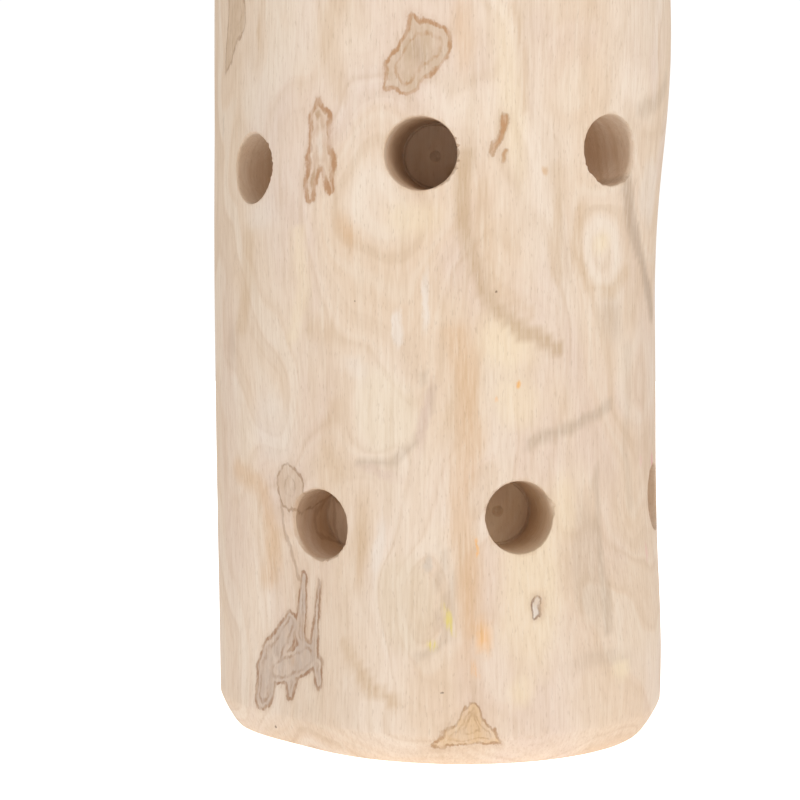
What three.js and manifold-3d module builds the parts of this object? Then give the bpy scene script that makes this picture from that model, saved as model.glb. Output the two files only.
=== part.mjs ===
// A foraging tube for parrots: a short peeled trunk of java wood (coffee wood), sawn at both ends,
// with its rims sanded round and three staggered rows of blind holes bored in to hide food in.
// It is one piece of wood. Millimetres, +Z up along the trunk, origin at the middle of the base.
// Angles are in degrees about +Z, from the front of the trunk (-Y) towards +X.
import * as THREE from "three";
import { mergeVertices } from "three/addons/utils/BufferGeometryUtils.js";
import Module from "manifold-3d";

const trunk = {
  height: 255,
  radius: 51, // before the swells below
  sides: 60,
  wallRings: 31,
  rimDepth: 6.8, // how far the sanding reaches up the side
  rimInset: 3.6, // and in across the sawn end
  rimPower: 1.16, // 1 would be a flat chamfer, 2 a quarter circle
  rimRings: 4,
};

const bit = {
  radius: 7.5,
  sides: 24,
  spurRadius: 1.3, // the mark of the bit's centre point, in the hole's flat end
  spurDepth: 1.6,
};

// Each hole is bored by hand. Its mouth is at an angle and a height on the trunk, swing turns it about
// +Z away from straight at the axis, and tilt makes it climb (+) or fall (-) on its way in.
const rows = {
  lower: [
    { angle: -92.5, height: 51.4, swing: 4, tilt: 1, depth: 20 },
    { angle: -31.5, height: 49.5, swing: 8, tilt: 0, depth: 18 },
    { angle: 19.2, height: 51.9, swing: -8, tilt: -2, depth: 21 },
    { angle: 75.5, height: 53, swing: -5, tilt: 1, depth: 20 },
    { angle: 120, height: 50.6, swing: -8, tilt: -1, depth: 19 },
    { angle: 171.5, height: 52.4, swing: -2, tilt: 2, depth: 19 },
    { angle: 214, height: 51, swing: -8, tilt: 0, depth: 18 },
  ],
  middle: [
    { angle: -105.5, height: 127.9, swing: -4, tilt: 1, depth: 21 },
    { angle: -51.8, height: 126.1, swing: 6, tilt: 0, depth: 18 },
    { angle: -4.2, height: 127.3, swing: -2.2, tilt: 4.5, depth: 28 },
    { angle: 47, height: 129.6, swing: -8, tilt: 0, depth: 18 },
    { angle: 98.4, height: 128.4, swing: 3, tilt: -2, depth: 22 },
    { angle: 149.5, height: 126.8, swing: 8, tilt: 1, depth: 20 },
    { angle: 201.5, height: 128.2, swing: -2, tilt: 0, depth: 21 },
  ],
  upper: [
    { angle: -79.5, height: 202.1, swing: 3, tilt: -1, depth: 21 },
    { angle: -28.5, height: 203.8, swing: 5, tilt: 2, depth: 20 },
    { angle: 22.4, height: 204.6, swing: -3, tilt: 0, depth: 22 },
    { angle: 74, height: 202.9, swing: -3, tilt: 1, depth: 19 },
    { angle: 125.6, height: 202.3, swing: -8, tilt: -1, depth: 18 },
    { angle: 178.2, height: 203.9, swing: -2, tilt: 2, depth: 20 },
    { angle: 235, height: 204.2, swing: 8, tilt: 0, depth: 17 },
  ],
};

// Where the trunk grew out of round. A swell rises over its spread, in degrees round the trunk and
// millimetres along it; a negative rise is a flat or a hollow.
const swells = [
  { angle: 85, height: 157, rise: 3.3, round: 44, along: 37 }, // the shoulder on the right
  { angle: 89, height: 116, rise: -0.8, round: 39, along: 27 }, // the waist under it
  { angle: 49, height: 16, rise: 3.4, round: 35, along: 28 },
  { angle: -45, height: 27, rise: -5.1, round: 21, along: 38 }, // the flat where a branch was cut off
  { angle: -93, height: 103, rise: 1.8, round: 26, along: 105 },
  { angle: 21, height: 0, rise: 2.1, round: 32, along: 31 },
  { angle: 33, height: 134, rise: -1.6, round: 14, along: 30 },
  { angle: -39, height: 128, rise: 1.3, round: 13, along: 32 },
  { angle: 5, height: 51, rise: 1.8, round: 17, along: 40 },
  { angle: -28, height: 214, rise: 1.6, round: 30, along: 30 },
  { angle: 30, height: 244, rise: -1.7, round: 34, along: 34 },
  { angle: 104, height: 226, rise: -1.4, round: 30, along: 30 },
  { angle: 140, height: 60, rise: 2.4, round: 34, along: 44 },
  { angle: 186, height: 126, rise: -2.6, round: 30, along: 52 },
  { angle: 232, height: 190, rise: 2.2, round: 32, along: 40 },
  { angle: 168, height: 222, rise: 1.5, round: 30, along: 32 },
  { angle: 224, height: 34, rise: -1.6, round: 26, along: 34 },
];

const wasm = await Module();
wasm.setup();

const radians = THREE.MathUtils.degToRad;

// The shortest way round from one angle to another, in degrees.
function turnBetween(from, to) {
  return THREE.MathUtils.euclideanModulo(to - from + 180, 360) - 180;
}

// The trunk's own radius at an angle and a height, before the rims are sanded.
function barkRadius(angle, height) {
  let radius = trunk.radius;
  for (const swell of swells) {
    const round = turnBetween(swell.angle, angle) / swell.round;
    const along = (height - swell.height) / swell.along;
    radius += swell.rise * Math.exp(-round * round - along * along);
  }
  return radius;
}

// How far the sanding takes the side in, at a share of the way up the sanded band.
function sandedInset(share) {
  const power = trunk.rimPower;
  return trunk.rimInset * (1 - (1 - (1 - share) ** power) ** (1 / power));
}

// Half of the round blank's outline: out across the base, round the sanded rim and up the wall.
function blankProfile() {
  const points = [new THREE.Vector2(0, 0)];
  for (let i = 0; i <= trunk.rimRings; i++) {
    const share = i / trunk.rimRings;
    points.push(new THREE.Vector2(trunk.radius - sandedInset(share), trunk.rimDepth * share));
  }
  const wall = trunk.height - 2 * trunk.rimDepth;
  for (let i = 1; i < trunk.wallRings; i++) {
    points.push(new THREE.Vector2(trunk.radius, trunk.rimDepth + (wall * i) / trunk.wallRings));
  }
  for (let i = trunk.rimRings + 1; i >= 1; i--) {
    points.push(new THREE.Vector2(points[i].x, trunk.height - points[i].y));
  }
  points.push(new THREE.Vector2(0, trunk.height));
  return points;
}

// The blank, turned Z up, with every point moved in or out to the grown outline.
function trunkGeometry() {
  const geometry = new THREE.LatheGeometry(blankProfile(), trunk.sides);
  geometry.rotateX(Math.PI / 2);
  const place = geometry.getAttribute("position");
  for (let i = 0; i < place.count; i++) {
    const x = place.getX(i);
    const y = place.getY(i);
    const angle = THREE.MathUtils.radToDeg(Math.atan2(x, -y));
    const grown = Math.hypot(x, y) > 0 ? barkRadius(angle, place.getZ(i)) / trunk.radius : 1;
    place.setXY(i, x * grown, y * grown);
  }
  return geometry;
}

// What a flat-bottomed bit takes away: its mouth at the origin, opening towards -Y.
function boreGeometry(depth) {
  const clearOfBark = 12;
  const outline = [
    new THREE.Vector2(0, -depth - bit.spurDepth),
    new THREE.Vector2(bit.spurRadius, -depth),
    new THREE.Vector2(bit.radius, -depth),
    new THREE.Vector2(bit.radius, clearOfBark),
    new THREE.Vector2(0, clearOfBark),
  ];
  const geometry = new THREE.LatheGeometry(outline, bit.sides);
  geometry.rotateX(Math.PI);
  return geometry;
}

// The same, turned and carried to its place on the trunk.
function placedBore(hole) {
  const bore = boreGeometry(hole.depth);
  bore.rotateX(radians(hole.tilt));
  bore.rotateZ(radians(hole.angle + hole.swing));
  const radius = barkRadius(hole.angle, hole.height);
  const turn = radians(hole.angle);
  bore.translate(radius * Math.sin(turn), -radius * Math.cos(turn), hole.height);
  return bore;
}

// A closed three.js geometry as a solid.
function solidFrom(geometry) {
  const bare = geometry.clone();
  bare.deleteAttribute("normal");
  bare.deleteAttribute("uv");
  const merged = mergeVertices(bare, 1e-4);
  const solid = new wasm.Manifold(
    new wasm.Mesh({
      numProp: 3,
      vertProperties: merged.getAttribute("position").array,
      triVerts: new Uint32Array(merged.index.array),
    }),
  );
  if (solid.volume() > 0) return solid;
  throw new Error("a profile runs the wrong way round");
}

// A solid as a flat-shaded three.js geometry.
function geometryFrom(solid) {
  const mesh = solid.getMesh();
  const geometry = new THREE.BufferGeometry();
  geometry.setAttribute("position", new THREE.BufferAttribute(mesh.vertProperties, mesh.numProp));
  geometry.setIndex(new THREE.BufferAttribute(mesh.triVerts, 1));
  const flat = geometry.toNonIndexed();
  flat.computeVertexNormals();
  return flat;
}

// The trunk with every row of holes bored into it.
function drilledTrunk() {
  let wood = solidFrom(trunkGeometry());
  for (const hole of Object.values(rows).flat()) {
    wood = wood.subtract(solidFrom(placedBore(hole)));
  }
  return geometryFrom(wood);
}

const peeledWood = new THREE.MeshStandardMaterial({
  color: 0xe6d0b5,
  roughness: 0.72,
  metalness: 0,
});

const log = new THREE.Mesh(drilledTrunk(), peeledWood);
log.name = "drilled_log";

const foragingTube = new THREE.Group();
foragingTube.add(log);

export default foragingTube;
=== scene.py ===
"""Looks of a java wood foraging tube: a short peeled log with three rows of blind holes in its side.

Lengths in this file are millimetres and become metres where a mesh or a lamp is placed. Angles are degrees
about +Z, from the front of the log (-Y) towards +X. A mark on the bark side is placed by how far it lies
across from the front line, measured round the log, and by its height above the base.
"""

import logging
import math
import random
from dataclasses import dataclass
from enum import Enum

import bmesh
import bpy
import numpy as np
from mathutils import Matrix, Vector, noise

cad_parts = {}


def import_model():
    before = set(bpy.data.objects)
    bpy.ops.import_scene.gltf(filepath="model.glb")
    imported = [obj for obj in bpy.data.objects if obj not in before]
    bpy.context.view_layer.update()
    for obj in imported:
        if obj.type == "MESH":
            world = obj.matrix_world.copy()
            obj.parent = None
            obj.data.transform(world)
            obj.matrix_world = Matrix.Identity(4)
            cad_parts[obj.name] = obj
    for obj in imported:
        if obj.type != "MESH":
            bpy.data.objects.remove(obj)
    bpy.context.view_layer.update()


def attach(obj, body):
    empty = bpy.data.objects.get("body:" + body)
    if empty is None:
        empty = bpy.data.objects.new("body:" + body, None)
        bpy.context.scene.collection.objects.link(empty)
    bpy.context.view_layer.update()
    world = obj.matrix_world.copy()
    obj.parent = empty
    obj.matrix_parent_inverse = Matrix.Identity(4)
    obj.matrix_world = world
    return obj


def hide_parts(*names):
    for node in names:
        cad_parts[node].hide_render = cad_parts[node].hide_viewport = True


MM = 0.001
log = logging.getLogger("foraging_tube")

Colour = tuple[float, float, float]
Feed = bpy.types.NodeSocket | float | tuple
Spot = tuple[bpy.types.NodeSocket, bpy.types.NodeSocket]


def srgb(red: int, green: int, blue: int) -> Colour:
    """A colour given in the usual 0 to 255 steps, as the linear values that shaders take."""

    def linear(step: int) -> float:
        share = step / 255
        return share / 12.92 if share <= 0.04045 else ((share + 0.055) / 1.055) ** 2.4

    return linear(red), linear(green), linear(blue)


class Slot(Enum):
    """The finishes of the log, by their place in its material list."""

    PEELED = 0
    BORED = 1
    SAWN = 2
    AWAY = 3


@dataclass(frozen=True)
class Swell:
    """A place where the trunk grew out of round: its middle, its rise and its spread round and along."""

    angle: float
    height: float
    rise: float
    round: float
    along: float


@dataclass(frozen=True)
class Chip:
    """Where the bit tore a hole's mouth: seen from outside, turn is 0 at its right and 90 at its top."""

    turn: float
    spread: float
    reach: float
    drop: float
    ragged: float = 0.6


@dataclass(frozen=True)
class Hole:
    """One blind hole: where its mouth is, how it swings and tilts off square, and how deep it goes."""

    angle: float
    height: float
    swing: float
    tilt: float
    depth: float
    chips: tuple[Chip, ...] = ()


SWELLS = (
    Swell(85, 157, 3.3, 44, 37),
    Swell(89, 116, -0.8, 39, 27),
    Swell(49, 16, 3.4, 35, 28),
    Swell(-45, 27, -5.1, 21, 38),
    Swell(-93, 103, 1.8, 26, 105),
    Swell(21, 0, 2.1, 32, 31),
    Swell(33, 134, -1.6, 14, 30),
    Swell(-39, 128, 1.3, 13, 32),
    Swell(5, 51, 1.8, 17, 40),
    Swell(-28, 214, 1.6, 30, 30),
    Swell(30, 244, -1.7, 34, 34),
    Swell(104, 226, -1.4, 30, 30),
    Swell(140, 60, 2.4, 34, 44),
    Swell(186, 126, -2.6, 30, 52),
    Swell(232, 190, 2.2, 32, 40),
    Swell(168, 222, 1.5, 30, 32),
    Swell(224, 34, -1.6, 26, 34),
)

HOLES = (
    Hole(-92.5, 51.4, 4, 1, 20),
    Hole(-31.5, 49.5, 8, 0, 18, (Chip(178, 62, 0.6, 1.1, 0.15), Chip(300, 46, 0.7, 1.3, 0.9))),
    Hole(19.2, 51.9, -8, -2, 21, (Chip(140, 48, 0.7, 1.2, 0.95), Chip(14, 16, 0.9, 1.6, 0.5))),
    Hole(75.5, 53, -5, 1, 20, (Chip(120, 40, 0.5, 1.0, 0.8),)),
    Hole(120, 50.6, -8, -1, 19),
    Hole(171.5, 52.4, -2, 2, 19),
    Hole(214, 51, -8, 0, 18),
    Hole(-105.5, 127.9, -4, 1, 21),
    Hole(-51.8, 126.1, 6, 0, 18, (Chip(10, 46, 0.7, 1.4, 0.9), Chip(95, 30, 0.35, 0.8, 0.5))),
    Hole(-4.2, 127.3, -2.2, 4.5, 28, (Chip(-18, 52, 0.8, 1.3, 0.95), Chip(120, 40, 0.3, 0.7, 0.6))),
    Hole(47, 129.6, -8, 0, 18, (Chip(350, 52, 0.8, 1.2, 0.35), Chip(238, 40, 0.6, 1.2, 0.9))),
    Hole(98.4, 128.4, 3, -2, 22),
    Hole(149.5, 126.8, 8, 1, 20),
    Hole(201.5, 128.2, -2, 0, 21),
    Hole(-79.5, 202.1, 3, -1, 21),
    Hole(-28.5, 203.8, 5, 2, 20),
    Hole(22.4, 204.6, -3, 0, 22),
    Hole(74, 202.9, -3, 1, 19),
    Hole(125.6, 202.3, -8, -1, 18),
    Hole(178.2, 203.9, -2, 2, 20),
    Hole(235, 204.2, 8, 0, 17),
)


def face_outwards(bm: bmesh.types.BMesh) -> None:
    """Turns the faces of one closed body outwards."""
    bmesh.ops.recalc_face_normals(bm, faces=bm.faces)
    if bm.calc_volume(signed=True) < 0:
        bmesh.ops.reverse_faces(bm, faces=bm.faces)


@dataclass
class Trunk:
    """The peeled trunk before it is bored: a turned blank, moved in and out to the shape it grew in."""

    height: float = 255.0
    radius: float = 51.0
    rim_depth: float = 6.8
    rim_inset: float = 3.6
    rim_power: float = 1.16
    rim_rings: int = 10
    wall_rings: int = 158
    sides: int = 224
    skin: float = 0.12
    waver: float = 0.16

    def grown_radius(self, angle: np.ndarray | float, height: np.ndarray | float) -> np.ndarray | float:
        """The trunk's own radius at angles and heights, before its rims are sanded."""
        radius = self.radius + 0.0 * angle
        for swell in SWELLS:
            turn = ((angle - swell.angle + 180) % 360 - 180) / swell.round
            along = (height - swell.height) / swell.along
            radius = radius + swell.rise * np.exp(-turn * turn - along * along)
        return radius

    def under_bark(self, points: np.ndarray) -> np.ndarray:
        """How far points, one a row, lie under the peeled surface, in millimetres."""
        angle = np.degrees(np.arctan2(points[:, 0], -points[:, 1]))
        return self.grown_radius(angle, points[:, 2]) - np.hypot(points[:, 0], points[:, 1])

    def sanded_inset(self, share: float) -> float:
        """How far the sanding takes the side in, at a share of the way up the sanded band."""
        power = self.rim_power
        return self.rim_inset * (1 - (1 - (1 - share) ** power) ** (1 / power))

    def outline(self) -> list[Vector]:
        """Half of the blank's outline, from the middle of the base to the middle of the top."""
        foot = self.radius - self.rim_inset
        points = [Vector((foot * share, 0, 0)) for share in (0, 0.12, 0.3, 0.5, 0.7, 0.86, 0.96)]
        rim = []
        for i in range(self.rim_rings + 1):
            share = i / self.rim_rings
            rim.append(Vector((self.radius - self.sanded_inset(share), 0, self.rim_depth * share)))
        points += rim
        wall = self.height - 2 * self.rim_depth
        for i in range(1, self.wall_rings):
            points.append(Vector((self.radius, 0, self.rim_depth + wall * i / self.wall_rings)))
        points += [Vector((p.x, 0, self.height - p.z)) for p in reversed(rim)]
        points += [Vector((foot * share, 0, self.height)) for share in (0.96, 0.86, 0.7, 0.5, 0.3, 0.12, 0)]
        return points

    def drawn_in(self, place: Vector, share: float) -> float:
        """How far the surface wavers inwards at a point, so that it is never a perfect lathe turning."""
        broad = noise.noise(Vector((place.x / 17, place.y / 17, place.z / 34)))
        narrow = noise.noise(Vector((place.x / 6 + 40, place.y / 6, place.z / 15)))
        return share * (self.skin + self.waver * (1 + broad) * 0.5 + 0.05 * (1 + narrow))

    def mesh(self) -> bmesh.types.BMesh:
        """Spins the outline into the blank and moves it to its grown shape.

        Returns:
            A closed bmesh in millimetres. Its flat ends carry the sawn slot.
        """
        bm = bmesh.new()
        verts = [bm.verts.new(point) for point in self.outline()]
        edges = [bm.edges.new(pair) for pair in zip(verts, verts[1:])]
        bmesh.ops.spin(
            bm,
            geom=verts + edges,
            axis=(0, 0, 1),
            cent=(0, 0, 0),
            angle=math.tau,
            steps=self.sides,
            use_merge=True,
        )
        bmesh.ops.remove_doubles(bm, verts=bm.verts, dist=1e-4)
        points = np.array([vert.co for vert in bm.verts])
        angles = np.degrees(np.arctan2(points[:, 0], -points[:, 1]))
        grown = self.grown_radius(angles, points[:, 2]) / self.radius
        for vert, own in zip(bm.verts, grown):
            across = math.hypot(vert.co.x, vert.co.y)
            if across < 1e-6:
                continue
            share = min(1.0, across / (self.radius - self.rim_inset))
            factor = float(own) - self.drawn_in(vert.co, share) / across
            vert.co.x *= factor
            vert.co.y *= factor
        for face in bm.faces:
            face.smooth = True
            middle = face.calc_center_median()
            if min(middle.z, self.height - middle.z) < 0.01:
                face.material_index = Slot.SAWN.value
        face_outwards(bm)
        return bm


@dataclass
class Bore:
    """What the flat-bottomed bit takes away for one hole, torn mouth and all."""

    trunk: Trunk
    hole: Hole
    radius: float = 7.5
    spur_radius: float = 1.25
    spur_depth: float = 1.6
    sides: int = 96
    lip: float = 0.22

    def placement(self) -> Matrix:
        """The bore's own frame: +X to the mouth's right, +Y up and +Z out along the axis, in millimetres."""
        turn = math.radians(self.hole.angle)
        aim = math.radians(self.hole.angle + self.hole.swing)
        tilt = math.radians(self.hole.tilt)
        out = Vector((math.sin(aim) * math.cos(tilt), -math.cos(aim) * math.cos(tilt), -math.sin(tilt)))
        right = Vector((math.cos(aim), math.sin(aim), 0))
        up = out.cross(right)
        radius = self.trunk.grown_radius(self.hole.angle, self.hole.height)
        mouth = Vector((radius * math.sin(turn), -radius * math.cos(turn), self.hole.height))
        frame = Matrix((right, up, out)).transposed().to_4x4()
        frame.translation = mouth
        return frame

    def outline(self) -> list[Vector]:
        """Half of the bore's outline, from the spur's pit to clear of the bark; z is minus the depth."""
        deep = self.hole.depth
        floor = [
            (0.0, -deep - self.spur_depth),
            (0.45, -deep - 1.1),
            (self.spur_radius, -deep),
            (3.0, -deep + 0.04),
            (5.2, -deep + 0.08),
            (6.75, -deep + 0.1),
            (6.98, -deep - 0.3),
            (7.3, -deep - 0.35),
            (self.radius, -deep + 0.15),
        ]
        wall = [(self.radius, -deep + (deep - 3) * share) for share in (0.1, 0.28, 0.46, 0.64, 0.82)]
        under = (3.0, 2.3, 1.8, 1.4, 1.1, 0.85, 0.62, 0.42, 0.27, 0.15, 0.06, -0.04, -0.5, -7.0)
        mouth = [(self.radius, -depth) for depth in under]
        return [Vector((x, 0, z)) for x, z in [*floor, *wall, *mouth, (0.0, 7.0)]]

    def widened(self, turn: float, depth: float) -> float:
        """How far the mouth is torn wider at a turn round it, in degrees, and a depth under the bark."""
        depth = max(depth, 0.0)
        wider = self.lip * math.exp(-((depth / 0.4) ** 2))
        around = Vector((math.cos(math.radians(turn)), math.sin(math.radians(turn)), 0))
        own = self.hole.angle * 0.37 + self.hole.height
        fray = noise.noise(around * 9 + Vector((own, 0, 0)))
        wider += (0.1 + 0.14 * fray) * math.exp(-depth / 0.8)
        for chip in self.hole.chips:
            off = ((turn - chip.turn + 180) % 360 - 180) / chip.spread
            if abs(off) >= 1:
                continue
            teeth = noise.noise(around * 13 + Vector((0, own, chip.turn)))
            teeth += 0.6 * noise.noise(around * 29 + Vector((chip.turn, own, 0)))
            bite = (1 - chip.ragged) + chip.ragged * min(1.3, max(0.0, 0.5 + 1.5 * teeth))
            fade = (1 - off * off) ** 0.7
            wider += chip.reach * bite * fade * max(0.0, 1 - depth / chip.drop) ** 0.7
        return wider

    def bark_level(self, frame: Matrix, points: np.ndarray) -> np.ndarray:
        """How far out along the axis each point's line leaves the bark, in the bore's own frame."""
        turn, shift = np.array(frame.to_3x3()), np.array(frame.translation)
        low, high = np.full(len(points), -6.0), np.full(len(points), 9.0)
        for _ in range(18):
            middle = (low + high) / 2
            lifted = np.column_stack((points[:, 0], points[:, 1], middle))
            inside = self.trunk.under_bark(lifted @ turn.T + shift) > 0
            low, high = np.where(inside, middle, low), np.where(inside, high, middle)
        return (low + high) / 2

    def mesh(self) -> bmesh.types.BMesh:
        """Spins the bore, fits its mouth to the bark and carries it to its place.

        Returns:
            A closed bmesh in millimetres that carries the bored slot.
        """
        frame = self.placement()
        bm = bmesh.new()
        start = [bm.verts.new(point) for point in self.outline()]
        edges = [bm.edges.new(pair) for pair in zip(start, start[1:])]
        bmesh.ops.spin(
            bm,
            geom=start + edges,
            axis=(0, 0, 1),
            cent=(0, 0, 0),
            angle=math.tau,
            steps=self.sides,
            use_merge=True,
        )
        bmesh.ops.remove_doubles(bm, verts=bm.verts, dist=1e-4)
        deep = self.hole.depth
        for vert in bm.verts:
            across = math.hypot(vert.co.x, vert.co.y)
            if across > self.radius - 0.01 and -vert.co.z < deep - 0.3:
                turn = math.degrees(math.atan2(vert.co.y, vert.co.x))
                factor = 1 + self.widened(turn, -vert.co.z) / across
                vert.co.x *= factor
                vert.co.y *= factor
        levels = self.bark_level(frame, np.array([vert.co for vert in bm.verts]))
        for vert, level in zip(bm.verts, levels):
            if -vert.co.z < deep - 0.3:
                vert.co.z += float(level) * min(1.0, (deep + vert.co.z) / (deep - 3))
            vert.co = frame @ vert.co
        for face in bm.faces:
            face.smooth = True
            face.material_index = Slot.BORED.value
        face_outwards(bm)
        return bm


class Wiring:
    """Short calls that place shader nodes in one node tree and join them up."""

    def __init__(self, tree: bpy.types.NodeTree) -> None:
        """Starts on an empty tree."""
        self.tree = tree

    def node(self, kind: str, **settings: object) -> bpy.types.Node:
        """Places a node of a kind and sets its named properties."""
        node = self.tree.nodes.new(kind)
        for name, value in settings.items():
            setattr(node, name, value)
        return node

    def feed(self, socket: bpy.types.NodeSocket, value: Feed) -> None:
        """Joins a socket to another, or sets its own value."""
        if isinstance(value, bpy.types.NodeSocket):
            self.tree.links.new(value, socket)
        elif isinstance(value, tuple) and socket.type == "RGBA" and len(value) == 3:
            socket.default_value = (*value, 1.0)
        else:
            socket.default_value = value

    def math(
        self, operation: str, a: Feed, b: Feed = 0.0, c: Feed = 0.0, clamp: bool = False
    ) -> bpy.types.NodeSocket:
        """One step of arithmetic."""
        node = self.node("ShaderNodeMath", operation=operation, use_clamp=clamp)
        for socket, value in zip(node.inputs, (a, b, c)):
            self.feed(socket, value)
        return node.outputs[0]

    def span(
        self, value: Feed, low: Feed, high: Feed, start: Feed = 0.0, end: Feed = 1.0
    ) -> bpy.types.NodeSocket:
        """Eases from start to end as a value goes from low to high."""
        node = self.node("ShaderNodeMapRange", interpolation_type="SMOOTHSTEP")
        ends = (("From Min", low), ("From Max", high), ("To Min", start), ("To Max", end))
        for name, given in (("Value", value), *ends):
            self.feed(node.inputs[name], given)
        return node.outputs["Result"]

    def blend(self, share: Feed, under: Feed, over: Feed, mode: str = "MIX") -> bpy.types.NodeSocket:
        """Lays one colour over another."""
        node = self.node("ShaderNodeMix", data_type="RGBA", blend_type=mode, clamp_factor=True)
        for index, value in ((0, share), (6, under), (7, over)):
            self.feed(node.inputs[index], value)
        return node.outputs[2]

    def grainy(
        self, place: Feed, scale: float, detail: float = 2.0, roughness: float = 0.5
    ) -> bpy.types.Node:
        """A noise texture on a place."""
        node = self.node("ShaderNodeTexNoise")
        self.feed(node.inputs["Vector"], place)
        self.feed(node.inputs["Scale"], scale)
        self.feed(node.inputs["Detail"], detail)
        self.feed(node.inputs["Roughness"], roughness)
        return node

    def tinted(self, texture: bpy.types.Node) -> bpy.types.NodeOutputs:
        """The three channels of a texture's colour."""
        node = self.node("ShaderNodeSeparateColor")
        self.feed(node.inputs[0], texture.outputs["Color"])
        return node.outputs

    def joined(self, x: Feed, y: Feed, z: Feed = 0.0) -> bpy.types.NodeSocket:
        """Three values as one vector."""
        node = self.node("ShaderNodeCombineXYZ")
        for socket, value in zip(node.inputs, (x, y, z)):
            self.feed(socket, value)
        return node.outputs[0]

    def parted(self, value: Feed) -> bpy.types.NodeSocket:
        """The three values of a vector."""
        node = self.node("ShaderNodeSeparateXYZ")
        self.feed(node.inputs[0], value)
        return node.outputs

    def place(self, size: tuple[float, float, float]) -> bpy.types.NodeSocket:
        """Object coordinates in millimetres, each divided by a size."""
        spot = self.node("ShaderNodeTexCoord").outputs["Object"]
        node = self.node("ShaderNodeMapping", vector_type="POINT")
        self.feed(node.inputs["Vector"], spot)
        node.inputs["Scale"].default_value = tuple(1000 / step for step in size)
        return node.outputs[0]

    def group(self, tree: bpy.types.NodeTree, **inputs: Feed) -> bpy.types.Node:
        """Places a node group and feeds its inputs, an underscore in a name standing for a space."""
        node = self.node("ShaderNodeGroup", node_tree=tree)
        for name, value in inputs.items():
            self.feed(node.inputs[name.replace("_", " ")], value)
        return node


class Effect:
    """A shader effect that several finishes share, as a node group built once."""

    name = ""
    takes: tuple[tuple[str, str, object], ...] = ()
    gives: tuple[tuple[str, str], ...] = ()

    def __init__(self) -> None:
        """Makes the group with its sockets and fills it."""
        kinds = {"value": "NodeSocketFloat", "vector": "NodeSocketVector", "colour": "NodeSocketColor"}
        self.tree = bpy.data.node_groups.new(self.name, "ShaderNodeTree")
        for name, kind, value in self.takes:
            socket = self.tree.interface.new_socket(name=name, in_out="INPUT", socket_type=kinds[kind])
            socket.default_value = value
        for name, kind in self.gives:
            self.tree.interface.new_socket(name=name, in_out="OUTPUT", socket_type=kinds[kind])
        wiring = Wiring(self.tree)
        given = wiring.node("NodeGroupInput").outputs
        made = self.wire(wiring, given)
        out = wiring.node("NodeGroupOutput")
        for name, socket in made.items():
            wiring.feed(out.inputs[name], socket)

    def wire(self, w: Wiring, given: bpy.types.NodeOutputs) -> dict[str, bpy.types.NodeSocket]:
        """Wires the effect; each kind of effect gives its own."""
        raise NotImplementedError


class Unroll(Effect):
    """Lays the log's side out flat: how far round it a point lies, in millimetres, and how high."""

    name = "unrolled_side"
    takes = (("Facing", "value", 1.0),)
    gives = (("Across", "value"), ("Height", "value"))

    def wire(self, w: Wiring, given: bpy.types.NodeOutputs) -> dict[str, bpy.types.NodeSocket]:
        """Measures round from the front line with a facing of 1, or from the back line with -1."""
        x, y, z = w.parted(w.node("ShaderNodeTexCoord").outputs["Object"])
        ahead = w.math("MULTIPLY", w.math("MULTIPLY", y, -1.0), given["Facing"])
        angle = w.math("ARCTAN2", w.math("MULTIPLY", x, given["Facing"]), ahead)
        return {"Across": w.math("MULTIPLY", angle, 51.0), "Height": w.math("MULTIPLY", z, 1000.0)}


class Stroke(Effect):
    """How far a point on a flat place lies outside a tapered stroke."""

    name = "stroke_distance"
    takes = (
        ("Across", "value", 0.0),
        ("Height", "value", 0.0),
        ("Start Across", "value", 0.0),
        ("Start Height", "value", 0.0),
        ("Run Across", "value", 0.0),
        ("Run Height", "value", 1.0),
        ("Start Radius", "value", 1.0),
        ("End Radius", "value", 1.0),
    )
    gives = (("Distance", "value"),)

    def wire(self, w: Wiring, given: bpy.types.NodeOutputs) -> dict[str, bpy.types.NodeSocket]:
        """Takes the nearest point of the stroke's middle line, and its radius there."""
        run_x, run_z = given["Run Across"], given["Run Height"]
        x = w.math("SUBTRACT", given["Across"], given["Start Across"])
        z = w.math("SUBTRACT", given["Height"], given["Start Height"])
        square = w.math("MULTIPLY_ADD", run_x, run_x, w.math("MULTIPLY", run_z, run_z))
        reach = w.math("MULTIPLY_ADD", x, run_x, w.math("MULTIPLY", z, run_z))
        share = w.math("DIVIDE", reach, square, clamp=True)
        back = w.math("MULTIPLY", share, -1.0)
        off_x = w.math("MULTIPLY_ADD", back, run_x, x)
        off_z = w.math("MULTIPLY_ADD", back, run_z, z)
        away = w.math("SQRT", w.math("MULTIPLY_ADD", off_x, off_x, w.math("MULTIPLY", off_z, off_z)))
        grow = w.math("SUBTRACT", given["End Radius"], given["Start Radius"])
        radius = w.math("MULTIPLY_ADD", grow, share, given["Start Radius"])
        return {"Distance": w.math("SUBTRACT", away, radius)}


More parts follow.
